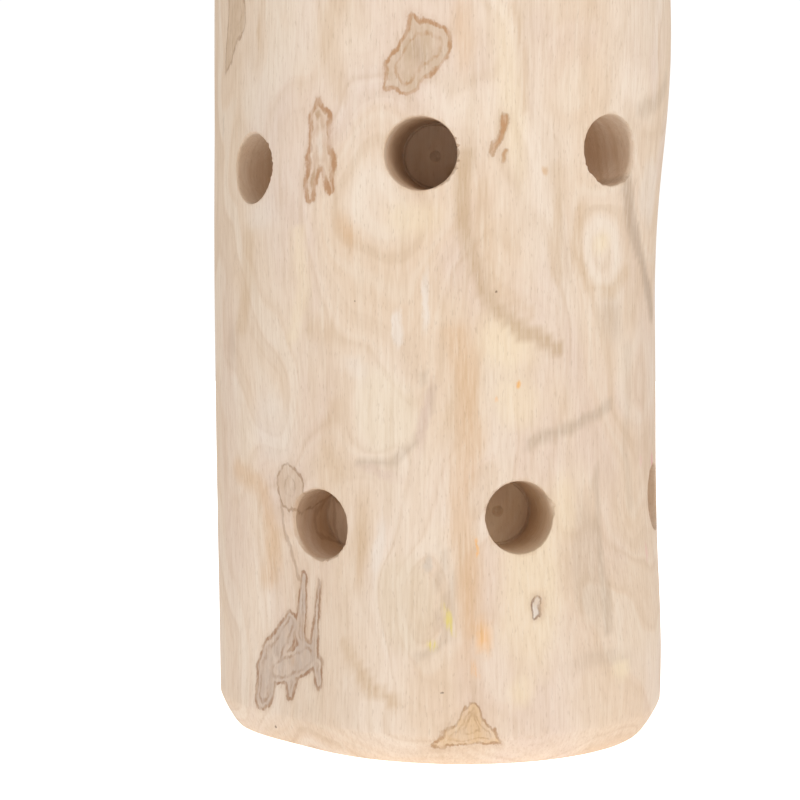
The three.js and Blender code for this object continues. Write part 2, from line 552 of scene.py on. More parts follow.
class Blot(Effect):
    """A soft oval patch on the unrolled side."""

    name = "soft_blot"
    takes = (
        ("Across", "value", 0.0),
        ("Height", "value", 0.0),
        ("Middle Across", "value", 0.0),
        ("Middle Height", "value", 0.0),
        ("Reach Across", "value", 1.0),
        ("Reach Up", "value", 1.0),
        ("Lean", "value", 0.0),
        ("Core", "value", 0.2),
    )
    gives = (("Mask", "value"),)

    def wire(self, w: Wiring, given: bpy.types.NodeOutputs) -> dict[str, bpy.types.NodeSocket]:
        """Measures a leaning oval, and fades from its core to its edge."""
        x = w.math("SUBTRACT", given["Across"], given["Middle Across"])
        z = w.math("SUBTRACT", given["Height"], given["Middle Height"])
        lean = w.math("RADIANS", given["Lean"])
        upright, sideways = w.math("COSINE", lean), w.math("SINE", lean)
        leant = w.math("MULTIPLY", z, w.math("MULTIPLY", sideways, -1.0))
        across = w.math("DIVIDE", w.math("MULTIPLY_ADD", x, upright, leant), given["Reach Across"])
        up = w.math("MULTIPLY_ADD", x, sideways, w.math("MULTIPLY", z, upright))
        up = w.math("DIVIDE", up, given["Reach Up"])
        square = w.math("MULTIPLY_ADD", across, across, w.math("MULTIPLY", up, up))
        return {"Mask": w.span(w.math("SQRT", square), given["Core"], 1.0, 1.0, 0.0)}


class ScarLines(Effect):
    """The drawn look of a bark scar, from the distance to its edge: the edge line, a ring and the inside."""

    name = "scar_lines"
    takes = (("Distance", "value", 0.0), ("Line", "value", 0.45), ("Ring", "value", 1.3))
    gives = (("Edge", "value"), ("Ring", "value"), ("Inside", "value"), ("Halo", "value"))

    def wire(self, w: Wiring, given: bpy.types.NodeOutputs) -> dict[str, bpy.types.NodeSocket]:
        """Draws each line as a soft band, its strength broken up along it."""
        spot = w.place((1.0, 1.0, 2.4))
        broken = w.span(w.grainy(spot, 0.55, 2.0, 0.6).outputs["Fac"], 0.3, 0.62, 0.35, 1.0)
        off = w.math("ABSOLUTE", given["Distance"])
        edge = w.span(off, w.math("MULTIPLY", given["Line"], 0.25), given["Line"], 1.0, 0.0)
        inner = w.math("ABSOLUTE", w.math("ADD", given["Distance"], given["Ring"]))
        line_start, line_end = (w.math("MULTIPLY", given["Line"], share) for share in (0.1, 0.9))
        ring = w.span(inner, line_start, line_end, 1.0, 0.0)
        return {
            "Edge": w.math("MULTIPLY", edge, broken),
            "Ring": w.math("MULTIPLY", ring, w.math("SUBTRACT", 1.2, broken, clamp=True)),
            "Inside": w.span(given["Distance"], -0.35, 0.1, 1.0, 0.0),
            "Halo": w.span(given["Distance"], 0.0, 1.8, 1.0, 0.0),
        }


class Fibre(Effect):
    """Long wood fibre: fine streaks that run up the log, wherever it is cut."""

    name = "wood_fibre"
    takes = ()
    gives = (("Fine", "value"), ("Streak", "value"), ("Pores", "value"))

    def wire(self, w: Wiring, given: bpy.types.NodeOutputs) -> dict[str, bpy.types.NodeSocket]:
        """Stretches noise along the log at three widths."""
        fine = w.grainy(w.place((0.5, 0.5, 7.0)), 1.0, 3.0, 0.6).outputs["Fac"]
        streak = w.grainy(w.place((2.6, 2.6, 42.0)), 1.0, 3.0, 0.55).outputs["Fac"]
        pores = w.grainy(w.place((0.32, 0.32, 1.7)), 1.0, 1.0, 0.5).outputs["Fac"]
        return {"Fine": fine, "Streak": streak, "Pores": w.span(pores, 0.62, 0.74)}


class GrowthRings(Effect):
    """The rings that the trunk grew, cut by whatever surface it now has."""

    name = "growth_rings"
    takes = (("Lift", "value", 0.0),)
    gives = (("Band", "value"), ("Broad", "value"))

    def wire(self, w: Wiring, given: bpy.types.NodeOutputs) -> dict[str, bpy.types.NodeSocket]:
        """Reads uneven bands off the distance from a wandering pith."""
        wander = w.tinted(w.grainy(w.place((1.0, 1.0, 1.7)), 0.027, 2.0, 0.45))
        x, y, _ = w.parted(w.node("ShaderNodeTexCoord").outputs["Object"])
        off_x = w.math("MULTIPLY_ADD", wander[0], 26.0, w.math("MULTIPLY_ADD", x, 1000.0, -16.0))
        off_y = w.math("MULTIPLY_ADD", wander[1], 26.0, w.math("MULTIPLY_ADD", y, 1000.0, -11.0))
        away = w.math("SQRT", w.math("MULTIPLY_ADD", off_x, off_x, w.math("MULTIPLY", off_y, off_y)))
        ring = w.math("ADD", away, given["Lift"])
        band = w.node("ShaderNodeTexNoise", noise_dimensions="1D")
        w.feed(band.inputs["W"], w.math("MULTIPLY", ring, 0.62))
        w.feed(band.inputs["Scale"], 1.0)
        w.feed(band.inputs["Detail"], 2.0)
        broad = w.node("ShaderNodeTexNoise", noise_dimensions="1D")
        w.feed(broad.inputs["W"], w.math("MULTIPLY", ring, 0.17))
        w.feed(broad.inputs["Scale"], 1.0)
        w.feed(broad.inputs["Detail"], 1.0)
        return {"Band": band.outputs["Fac"], "Broad": broad.outputs["Fac"]}


@dataclass(frozen=True)
class Line:
    """A tapered stroke of a mark: from one point to another, with its half width at each."""

    x0: float
    z0: float
    r0: float
    x1: float
    z1: float
    r1: float


@dataclass(frozen=True)
class Scar:
    """The healed foot of a side shoot: strokes that make up its outline, and how strongly it is coloured."""

    lines: tuple[Line, ...]
    tint: Colour
    edge: Colour
    fill: float
    draw: float
    line: float = 0.45
    ring: float = 1.3
    ringed: float = 0.5
    melt: float = 1.2


@dataclass(frozen=True)
class Patch:
    """A soft coloured patch: its middle, its reach across and up, its lean and its strength."""

    x: float
    z: float
    across: float
    up: float
    lean: float
    tint: Colour
    share: float
    core: float = 0.1
    streaky: float = 0.0

    @property
    def broad(self) -> bool:
        """Whether it is large enough to be worked out at the points of the mesh."""
        return min(self.across, self.up) >= 2.0


@dataclass(frozen=True)
class Swirl:
    """A soft band of the wood's figure: the points it runs through, its half width and its fading edge."""

    points: tuple[tuple[float, float], ...]
    wide: float
    fade: float
    tint: Colour
    share: float


GREY_BROWN = srgb(196, 172, 148)
TAN = srgb(214, 183, 148)
BROWN = srgb(176, 138, 100)
EDGE_BROWN = srgb(158, 120, 88)
EDGE_ORANGE = srgb(176, 132, 90)
PALE_GREY = srgb(214, 200, 186)
CREAM_WHITE = srgb(243, 232, 216)
PINKISH = srgb(222, 196, 178)
BEIGE = srgb(216, 190, 160)
ORANGE = srgb(246, 186, 112)
YELLOW = srgb(236, 218, 118)
MAGENTA = srgb(226, 150, 160)
GREY_TAN = srgb(198, 175, 152)
ORANGE_TAN = srgb(222, 184, 144)
SUNLIT = srgb(246, 226, 194)
WHITISH = srgb(240, 226, 212)
SPECK = srgb(110, 80, 60)

FRONT_SCARS = (
    Scar(
        (
            Line(-7.0, 144.4, 4.2, -2.6, 149.6, 4.9),
            Line(-4.4, 152.0, 2.2, -5.2, 155.6, 0.5),
            Line(-9.0, 142.6, 1.9, -10.6, 141.0, 0.5),
        ),
        srgb(206, 180, 152),
        srgb(182, 134, 90),
        0.8,
        1.0,
        line=0.6,
        ring=1.9,
        ringed=0.8,
    ),
    Scar(
        (
            Line(-58.5, 152.5, 2.2, -54.0, 160.0, 4.5),
            Line(-54.0, 160.0, 4.5, -54.0, 168.0, 4.0),
            Line(-58.8, 152.0, 1.6, -60.4, 148.6, 0.3),
        ),
        srgb(206, 178, 148),
        EDGE_BROWN,
        0.8,
        0.7,
        ring=2.2,
    ),
    Scar(
        (
            Line(-26.0, 139.0, 0.2, -25.8, 135.0, 1.9),
            Line(-25.8, 135.0, 2.2, -25.5, 127.5, 2.7),
            Line(-27.2, 127.0, 1.7, -27.9, 118.6, 0.7),
            Line(-23.6, 127.0, 1.3, -23.4, 120.4, 0.5),
        ),
        srgb(224, 200, 174),
        srgb(178, 128, 84),
        0.4,
        1.0,
        line=0.85,
        ring=1.5,
        ringed=0.3,
    ),
    Scar((Line(14.3, 134.6, 0.9, 11.2, 127.8, 0.4),), srgb(188, 138, 92), EDGE_ORANGE, 0.9, 0.7, ringed=0.0),
    Scar(
        (Line(14.2, 127.4, 0.6, 14.0, 126.1, 0.6),),
        srgb(190, 142, 96),
        EDGE_ORANGE,
        0.8,
        0.4,
        line=0.3,
        ringed=0.0,
    ),
    Scar(
        (Line(-37.0, 55.8, 4.2, -37.0, 57.4, 4.2),),
        srgb(210, 184, 158),
        EDGE_BROWN,
        0.6,
        0.75,
        ring=2.7,
        ringed=0.55,
    ),
    Scar(
        (
            Line(-48.5, 10.0, 3.0, -47.6, 17.0, 3.0),
            Line(-46.0, 19.0, 3.6, -39.5, 27.0, 2.6),
            Line(-44.0, 16.0, 3.4, -33.0, 20.5, 3.2),
            Line(-36.0, 24.0, 2.2, -34.6, 38.0, 0.8),
            Line(-31.0, 20.0, 1.5, -28.8, 37.0, 0.4),
            Line(-39.3, 14.0, 1.8, -39.2, 11.0, 0.9),
            Line(-29.6, 19.0, 1.8, -29.4, 15.4, 1.2),
        ),
        srgb(204, 184, 168),
        srgb(160, 116, 82),
        0.9,
        1.0,
        line=0.65,
        ring=1.5,
        ringed=0.7,
    ),
    Scar(
        (
            Line(6.8, 12.0, 1.3, 3.2, 6.8, 1.9),
            Line(6.8, 12.0, 1.3, 9.6, 7.2, 1.9),
            Line(3.2, 6.8, 2.0, 9.6, 7.2, 2.0),
            Line(3.2, 6.4, 1.6, -0.6, 4.6, 0.2),
            Line(9.6, 7.0, 1.6, 12.6, 5.4, 0.2),
        ),
        srgb(226, 190, 142),
        EDGE_ORANGE,
        0.65,
        0.9,
        line=0.42,
        ring=1.2,
        ringed=0.7,
    ),
    Scar(
        (Line(20.5, 31.9, 0.8, 20.7, 34.6, 0.7),),
        srgb(232, 222, 212),
        srgb(140, 104, 82),
        0.8,
        1.0,
        ringed=0.0,
    ),
)

TRACES = (
    Line(-41.0, 54.0, 0.15, -40.2, 48.0, 0.2),
    Line(-40.2, 48.0, 0.2, -38.2, 41.0, 0.2),
    Line(-38.2, 41.0, 0.2, -36.6, 37.0, 0.25),
)

FRONT_PATCHES = (
    Patch(-11.5, 74.0, 8.5, 12.0, -12, srgb(240, 224, 200), 0.6, 0.6),
    Patch(-2.6, 73.0, 1.8, 11.5, 10, PINKISH, 0.75, 0.1),
    Patch(-12.5, 61.5, 7.5, 1.7, 14, PINKISH, 0.6, 0.1),
    Patch(-18.5, 83.0, 5.0, 3.0, 35, WHITISH, 0.6, 0.3),
    Patch(-8.5, 91.5, 1.6, 5.6, 4, WHITISH, 0.85, 0.4),
    Patch(-2.6, 97.0, 1.2, 9.0, 2, WHITISH, 0.85, 0.3),
    Patch(-5.5, 113.5, 8.0, 6.0, 0, SUNLIT, 0.5, 0.3),
    Patch(-42.5, 116.0, 8.0, 5.0, 0, WHITISH, 0.55, 0.2),
    Patch(-41.0, 70.0, 10.0, 11.0, 0, WHITISH, 0.6, 0.4),
    Patch(-26.0, 91.0, 6.0, 4.5, 10, TAN, 0.4, 0.1),
    Patch(-57.0, 88.0, 4.5, 8.0, 0, GREY_TAN, 0.45, 0.1),
    # Painted sheen of the white surround at the left limb, laid as a tall pinkish patch.
    Patch(-61.0, 66.0, 9.0, 60.0, 0, PINKISH, 0.4, 0.3),
    Patch(-12.5, 45.0, 1.6, 9.0, 8, WHITISH, 0.8, 0.3),
    Patch(-7.0, 34.0, 7.5, 13.0, 0, srgb(226, 206, 180), 0.6, 0.6),
    Patch(-17.0, 45.5, 3.0, 13.0, 2, TAN, 0.75, 0.2),
    Patch(-19.0, 112.0, 3.0, 6.0, -28, ORANGE_TAN, 0.7, 0.1),
    Patch(5.0, 75.0, 6.5, 15.0, 0, TAN, 0.5, 0.3),
    Patch(5.5, 32.0, 3.0, 22.0, 0, ORANGE_TAN, 0.5, 0.1),
    Patch(15.0, 140.0, 5.0, 26.0, -8, SUNLIT, 0.55, 0.3),
    Patch(14.0, 88.0, 8.0, 9.0, -30, SUNLIT, 0.7, 0.3),
    Patch(17.0, 76.0, 7.0, 8.0, 0, SUNLIT, 0.6, 0.3),
    Patch(19.0, 38.0, 9.0, 24.0, 0, SUNLIT, 0.6, 0.5),
    Patch(27.0, 53.0, 4.0, 9.0, 0, SUNLIT, 0.5, 0.3),
    Patch(16.5, 16.5, 3.5, 4.5, 0, SUNLIT, 0.7, 0.3),
    Patch(5.5, 152.0, 3.0, 14.0, -6, ORANGE_TAN, 0.55, 0.2),
    Patch(34.0, 42.0, 6.5, 17.0, -4, GREY_TAN, 0.42, 0.5),
    Patch(36.0, 20.5, 12.0, 3.5, 0, GREY_TAN, 0.4, 0.2),
    Patch(41.0, 18.0, 3.6, 3.4, 20, SUNLIT, 0.85, 0.3),
    Patch(42.3, 93.0, 6.0, 9.0, 0, GREY_TAN, 0.45, 0.2),
    Patch(40.2, 109.0, 3.6, 3.6, 0, SUNLIT, 0.8, 0.2),
    Patch(58.5, 121.0, 8.0, 9.5, 10, WHITISH, 0.6, 0.5),
    # Painted sheen of the white surround at the right limb, laid as a tall pinkish patch.
    Patch(60.0, 80.0, 14.0, 40.0, 0, PINKISH, 0.4, 0.3),
    Patch(59.0, 155.0, 1.5, 8.0, 4, TAN, 0.6, 0.1, 0.6),
    Patch(-43.4, 153.7, 1.3, 7.0, 0, TAN, 0.6, 0.1, 0.4),
    Patch(-62.0, 137.0, 1.2, 4.2, 0, GREY_BROWN, 0.8, 0.2, 0.5),
    Patch(-25.6, 129.5, 1.0, 3.2, 0, WHITISH, 0.9, 0.4),
    Patch(-27.2, 123.0, 0.7, 3.2, 0, BROWN, 0.8, 0.2),
    Patch(-26.0, 136.0, 0.9, 1.8, 0, BROWN, 0.8, 0.3),
    Patch(-4.4, 147.2, 3.2, 5.0, -34, srgb(176, 150, 126), 0.75, 0.3, 0.2),
    Patch(-48.5, 12.5, 2.4, 5.0, -10, srgb(176, 150, 134), 0.55, 0.2, 0.3),
    Patch(-45.0, 20.5, 1.6, 2.6, -40, srgb(140, 104, 76), 0.7, 0.1, 0.4),
    Patch(-35.5, 25.0, 1.6, 3.4, 10, srgb(208, 156, 104), 0.65, 0.1, 0.4),
    Patch(-38.0, 18.5, 3.0, 1.6, 20, srgb(206, 160, 114), 0.5, 0.2, 0.3),
    Patch(17.2, 79.6, 0.9, 1.4, -15, ORANGE, 0.95, 0.3, 0.3),
    Patch(7.8, 46.0, 0.4, 2.4, 0, ORANGE, 0.8, 0.3, 0.3),
    Patch(9.2, 27.5, 2.6, 5.6, -10, ORANGE, 0.9, 0.1, 0.9),
    Patch(7.3, 20.5, 1.2, 3.0, -10, ORANGE, 0.6, 0.1, 0.9),
    Patch(12.0, 76.5, 0.5, 1.0, 0, ORANGE, 0.5, 0.2, 0.5),
    Patch(24.0, 124.5, 1.0, 1.6, 20, ORANGE_TAN, 0.8, 0.2, 0.3),
    Patch(20.6, 33.3, 2.4, 4.2, 0, ORANGE_TAN, 0.5, 0.4),
    Patch(2.0, 31.0, 1.4, 4.2, -20, YELLOW, 0.85, 0.1, 0.9),
    Patch(-1.0, 25.6, 1.8, 1.8, 0, YELLOW, 0.9, 0.1, 0.8),
    Patch(-2.0, 42.5, 1.0, 2.8, 12, PALE_GREY, 0.6, 0.2),
    Patch(65.0, 61.0, 1.6, 3.4, 0, MAGENTA, 0.85, 0.2, 0.4),
    Patch(55.0, 62.0, 1.2, 2.0, 0, MAGENTA, 0.35, 0.1, 0.5),
    Patch(56.5, 41.0, 1.6, 3.0, 0, MAGENTA, 0.35, 0.2, 0.5),
    Patch(12.2, 99.3, 0.35, 0.4, 0, SPECK, 0.8, 0.4),
    Patch(-18.2, 97.2, 0.35, 0.35, 0, SPECK, 0.6, 0.4),
    Patch(-45.7, 3.2, 0.5, 0.35, 0, SPECK, 0.8, 0.4),
    Patch(0.8, 15.8, 0.3, 0.3, 0, SPECK, 0.7, 0.4),
)

FIGURE = (
    Swirl(
        ((6.5, 127), (4.8, 119), (5.4, 108), (9.5, 98), (17.5, 91), (26, 87)),
        0.9,
        1.5,
        srgb(202, 172, 138),
        0.75,
    ),
    Swirl(((9.5, 120), (8.4, 109), (12.5, 100), (19.5, 95)), 0.4, 2.0, TAN, 0.45),
    Swirl(((3.5, 90), (6.5, 76), (7.0, 68), (4.5, 56), (5.0, 44), (7.0, 30)), 1.0, 3.0, ORANGE_TAN, 0.6),
    Swirl(((20, 67.5), (28.5, 69), (34, 72), (41, 75.5)), 0.7, 1.7, GREY_TAN, 0.7),
    Swirl(((47, 123), (50, 113.5), (57, 105.5), (65, 94)), 1.0, 1.9, srgb(184, 160, 138), 0.75),
    Swirl(((52, 139), (59, 142), (66, 147)), 0.8, 2.2, GREY_TAN, 0.5),
    Swirl(((-56, 60), (-48.5, 56), (-44.8, 47), (-47, 35)), 0.8, 3.2, ORANGE_TAN, 0.6),
    Swirl(((-48.5, 112), (-49.5, 102), (-52, 92)), 1.2, 2.4, TAN, 0.55),
    Swirl(((-21, 24), (-14.5, 14.5), (-9, 12.2)), 0.5, 1.2, TAN, 0.7),
    Swirl(((-3.2, 82), (-2.0, 76), (-4.0, 69), (-9, 62), (-17, 63)), 0.3, 1.0, GREY_TAN, 0.6),
    Swirl(((0.5, 46), (2.6, 36), (1.6, 27), (-4, 22.5)), 0.3, 1.0, GREY_TAN, 0.5),
    Swirl(((-1.0, 42), (0.4, 36), (-0.6, 30)), 0.2, 0.8, GREY_TAN, 0.5),
    Swirl(((33, 117), (32, 108), (35.5, 101), (42, 99), (48, 104)), 0.4, 1.8, TAN, 0.6),
    Swirl(((27, 124), (26, 112), (27.5, 103)), 0.4, 1.8, TAN, 0.5),
    Swirl(((37.5, 60), (37.2, 50), (38, 38), (37, 27)), 0.4, 1.2, GREY_TAN, 0.6),
    Swirl(((16, 158), (19, 148), (18, 138)), 0.3, 1.4, TAN, 0.5),
    Swirl(((-31, 112), (-30, 101), (-33, 90)), 0.5, 2.4, SUNLIT, 0.5),
    Swirl(((-22, 160), (-24, 150), (-21, 140)), 0.8, 2.6, TAN, 0.35),
    Swirl(((-24, 76), (-25.5, 68), (-22, 60)), 0.5, 2.4, TAN, 0.4),
    Swirl(((48, 88), (50, 76), (47, 64), (49, 52)), 0.4, 2.2, GREY_TAN, 0.35),
    Swirl(((-6, 232), (-2, 214), (-7, 198), (-3, 182), (-8, 168)), 1.0, 3.0, TAN, 0.55),
    Swirl(((22, 240), (17, 222), (24, 190), (19, 172)), 0.8, 2.6, ORANGE_TAN, 0.5),
    Swirl(((-30, 236), (-36, 218), (-31, 192), (-37, 176)), 0.8, 3.0, GREY_TAN, 0.5),
    Swirl(((52, 232), (46, 214), (51, 190)), 0.8, 2.6, TAN, 0.5),
)

MOUNDS = (
    Patch(-11.5, 73.5, 8.0, 12.0, -10, CREAM_WHITE, 5.0),
    Patch(-6.0, 36.0, 7.5, 14.0, 0, CREAM_WHITE, 6.0),
    Patch(57.0, 121.0, 9.0, 10.0, 10, CREAM_WHITE, 4.0),
    Patch(33.0, 38.0, 7.0, 17.0, 0, CREAM_WHITE, 3.0),
    Patch(38.0, 108.0, 9.0, 11.0, 0, CREAM_WHITE, -4.0),
    Patch(-40.0, 74.0, 9.0, 14.0, 0, CREAM_WHITE, 4.0),
)


@dataclass(frozen=True)
class Marks:
    """All that is drawn on one half of the peeled side, placed across from that half's middle line."""

    name: str
    facing: float
    scars: tuple[Scar, ...] = ()
    patches: tuple[Patch, ...] = ()
    traces: tuple[Line, ...] = ()
    figure: tuple[Swirl, ...] = ()
    mounds: tuple[Patch, ...] = ()


@dataclass(frozen=True)
class BackMarks:
    """Marks for the sides that face away from the front, drawn by one seeded rule."""

    seed: int = 41
    scars: int = 9
    patches: int = 26
    swirls: int = 22

    def free_spot(
        self, draw: random.Random, taken: list[tuple[float, float]], room: float
    ) -> tuple[float, float]:
        """A spot clear of the holes and of earlier marks, across from the back and up from the base."""
        for _ in range(60):
            x, z = draw.uniform(-72, 72), draw.uniform(14, 244)
            if all(math.hypot(x - a, z - b) > room for a, b in taken):
                break
        return x, z

    def draw(self) -> Marks:
        """Draws the scars and the patches, placed across from the back line."""
        draw = random.Random(self.seed)
        taken = []
        for hole in HOLES:
            turn = (hole.angle - 180 + 180) % 360 - 180
            taken.append((math.radians(turn) * 51, hole.height))
        scars = []
        for _ in range(self.scars):
            x, z = self.free_spot(draw, taken, 18)
            taken.append((x, z))
            lean = draw.uniform(-2.5, 2.5)
            tall = draw.uniform(5, 13)
            wide = draw.uniform(1.6, 4.2)
            lines = [
                Line(x, z - tall / 2, wide * 0.8, x + lean, z + tall / 2, wide),
                Line(x + lean, z + tall / 2, wide * 0.6, x + 1.4 * lean, z + tall * 0.95, 0.3),
            ]
            if draw.random() < 0.5:
                side = draw.choice((-1, 1)) * wide * 0.8
                lines.append(Line(x + side, z - tall / 2, wide * 0.45, x + side * 1.2, z - tall, 0.3))
            tint = draw.choice((GREY_BROWN, TAN, PALE_GREY))
            edge = draw.choice((EDGE_BROWN, EDGE_ORANGE))
            scars.append(Scar(tuple(lines), tint, edge, draw.uniform(0.35, 0.8), draw.uniform(0.6, 0.95)))
        patches = []
        for _ in range(self.patches):
            x, z = self.free_spot(draw, taken, 10)
            tint = draw.choice((CREAM_WHITE, PINKISH, BEIGE, TAN, BEIGE, CREAM_WHITE))
            across = draw.uniform(1.5, 8)
            up = across * draw.uniform(1.4, 3.2)
            turn, share = draw.uniform(-25, 25), draw.uniform(0.35, 0.6)
            patches.append(Patch(x, z, across, up, turn, tint, share, 0.2, 0.4))
        for _ in range(3):
            x, z = self.free_spot(draw, taken, 10)
            patches.append(Patch(x, z, 1.4, 3.4, 0, draw.choice((ORANGE, YELLOW)), 0.6, 0.1, 1.0))
        figure = []
        for _ in range(self.swirls):
            x, z = draw.uniform(-74, 74), draw.uniform(20, 235)
            points = [(x, z)]
            for _ in range(draw.choice((2, 3, 4))):
                x, z = x + draw.uniform(-5, 5), z - draw.uniform(7, 14)
                points.append((x, z))
            tint = draw.choice((TAN, GREY_TAN, ORANGE_TAN, SUNLIT, TAN))
            wide, fade, share = draw.uniform(0.3, 1.2), draw.uniform(1.4, 3.2), draw.uniform(0.4, 0.7)
            figure.append(Swirl(tuple(points), wide, fade, tint, share))
        return Marks("peeled_side_away", -1.0, tuple(scars), tuple(patches), figure=tuple(figure))


@dataclass
class FigureAndLimbSheen:
    """The soft clouds and bands of the wood, with the painted sheen at the front's two limbs, worked out at
    the points of the mesh and kept there.
    """

    points: np.ndarray

    def __post_init__(self) -> None:
        """Starts with nothing laid, and draws how far each point's place is pushed aside."""
        self.colour = np.zeros((len(self.points), 3))
        self.share = np.zeros(len(self.points))
        self.lift = np.zeros(len(self.points))
        pushes = []
        for x, y, z in self.points:
            broad = noise.noise_vector(Vector((x / 11, y / 11, z / 16)))
            fine = noise.noise_vector(Vector((x / 3.4, y / 3.4, z / 5)))
            pushes.append((1.8 * broad.x + 0.7 * fine.x, 2.2 * broad.y + 0.9 * fine.y))
        self.push = np.array(pushes)

    def unrolled(self, facing: float) -> tuple[np.ndarray, np.ndarray]:
        """How far across from one half's middle line the points lie, and how high."""
        x, y, z = self.points.T
        angle = np.arctan2(x * facing, -y * facing)
        return angle * 51 + self.push[:, 0], z + self.push[:, 1]

    def lay(self, mask: np.ndarray, tint: Colour) -> None:
        """Lays one colour over what is there."""
        self.colour = self.colour * (1 - mask)[:, None] + mask[:, None] * np.array(tint)
        self.share = self.share * (1 - mask) + mask

    def oval(self, patch: Patch, across: np.ndarray, height: np.ndarray) -> np.ndarray:
        """How far out in a leaning oval the points lie: 0 at its middle, 1 at its edge."""
        lean = math.radians(patch.lean)
        x, z = across - patch.x, height - patch.z
        right = (x * math.cos(lean) - z * math.sin(lean)) / patch.across
        up = (x * math.sin(lean) + z * math.cos(lean)) / patch.up
        return np.hypot(right, up)

    def band(self, swirl: Swirl, across: np.ndarray, height: np.ndarray) -> np.ndarray:
        """How far the points lie from a swirl's middle line."""
        nearest = np.full(len(across), 1e3)
        for (x0, z0), (x1, z1) in zip(swirl.points, swirl.points[1:]):
            run_x, run_z = x1 - x0, z1 - z0
            along = ((across - x0) * run_x + (height - z0) * run_z) / (run_x**2 + run_z**2)
            along = np.clip(along, 0, 1)
            nearest = np.minimum(nearest, np.hypot(across - x0 - along * run_x, height - z0 - along * run_z))
        return nearest

    def add(self, marks: Marks) -> None:
        """Lays all the broad marks of one half."""
        across, height = self.unrolled(marks.facing)
        for patch in marks.patches:
            if patch.broad:
                out = np.clip((self.oval(patch, across, height) - patch.core) / (1 - patch.core), 0, 1)
                self.lay(patch.share * (1 - out * out * (3 - 2 * out)), patch.tint)
        for swirl in marks.figure:
            out = np.clip((self.band(swirl, across, height) - swirl.wide) / swirl.fade, 0, 1)
            self.lay(swirl.share * (1 - out * out * (3 - 2 * out)), swirl.tint)
        for mound in marks.mounds:
            self.lift += mound.share * np.exp(-(self.oval(mound, across, height) ** 2))

    def keep(self, mesh: bpy.types.Mesh) -> None:
        """Writes the figure, painted limb sheen included, onto the mesh for the finishes."""
        figure = mesh.attributes.new("figure", "FLOAT_COLOR", "POINT")
        figure.data.foreach_set("color", np.column_stack((self.colour, self.share)).ravel())
        lift = mesh.attributes.new("ring_lift", "FLOAT", "POINT")
        lift.data.foreach_set("value", self.lift)


class Effects:
    """The shader effects, each built once."""

    def __init__(self) -> None:
        """Builds every group."""
        self.unroll = Unroll().tree
        self.stroke = Stroke().tree
        self.blot = Blot().tree
        self.scar = ScarLines().tree
        self.fibre = Fibre().tree
        self.rings = GrowthRings().tree


def new_material(name: str) -> tuple[bpy.types.Material, Wiring, bpy.types.Node]:
    """An empty node material.

    Args:
        name: The material's name.

    Returns:
        The material, the wiring of its tree, and its Principled BSDF, already joined to the output.
    """
    material = bpy.data.materials.new(name)
    material.use_nodes = True
    tree = material.node_tree
    tree.nodes.clear()
    w = Wiring(tree)
    shader = w.node("ShaderNodeBsdfPrincipled")
    out = w.node("ShaderNodeOutputMaterial")
    tree.links.new(shader.outputs[0], out.inputs["Surface"])
    return material, w, shader


